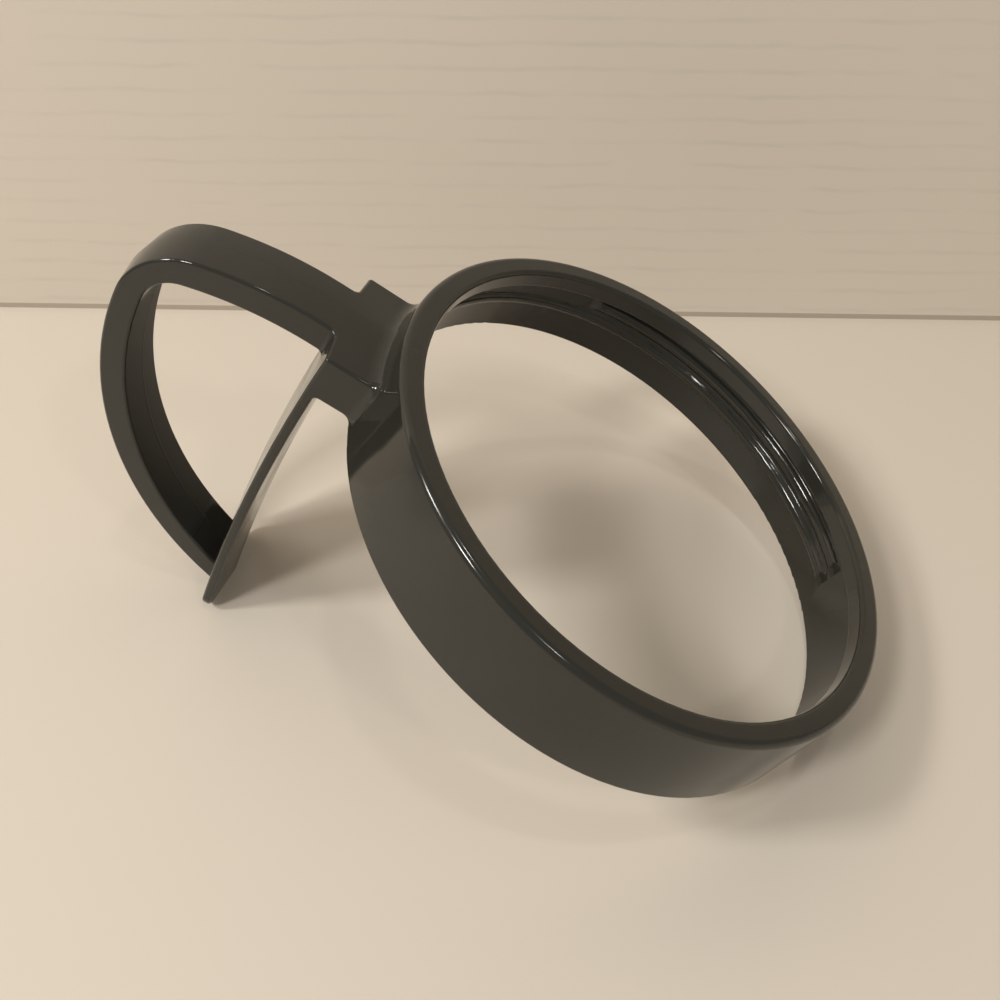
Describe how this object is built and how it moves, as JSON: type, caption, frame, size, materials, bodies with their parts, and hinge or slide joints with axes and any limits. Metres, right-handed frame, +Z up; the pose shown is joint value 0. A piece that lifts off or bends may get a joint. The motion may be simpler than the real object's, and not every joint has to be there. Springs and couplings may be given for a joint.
{
  "type": "blender cup lip ring",
  "caption": "Moulded lip ring that screws over the rim of a personal blender's cup, with a D-shaped handle beside it.",
  "frame": {"origin": "centre of the bounding box, on the surface that the part stands on", "axes": "+Z up from the surface, handle towards -X; the ring's axis leans towards +X, in the XZ plane that mirrors the outside"},
  "size_m": [0.1394, 0.1, 0.0761],
  "materials": {
    "body": "smooth glossy moulded plastic, dark charcoal grey"
  },
  "bodies": {
    "root": {"lip_ring": "body"}
  },
  "joints": []
}
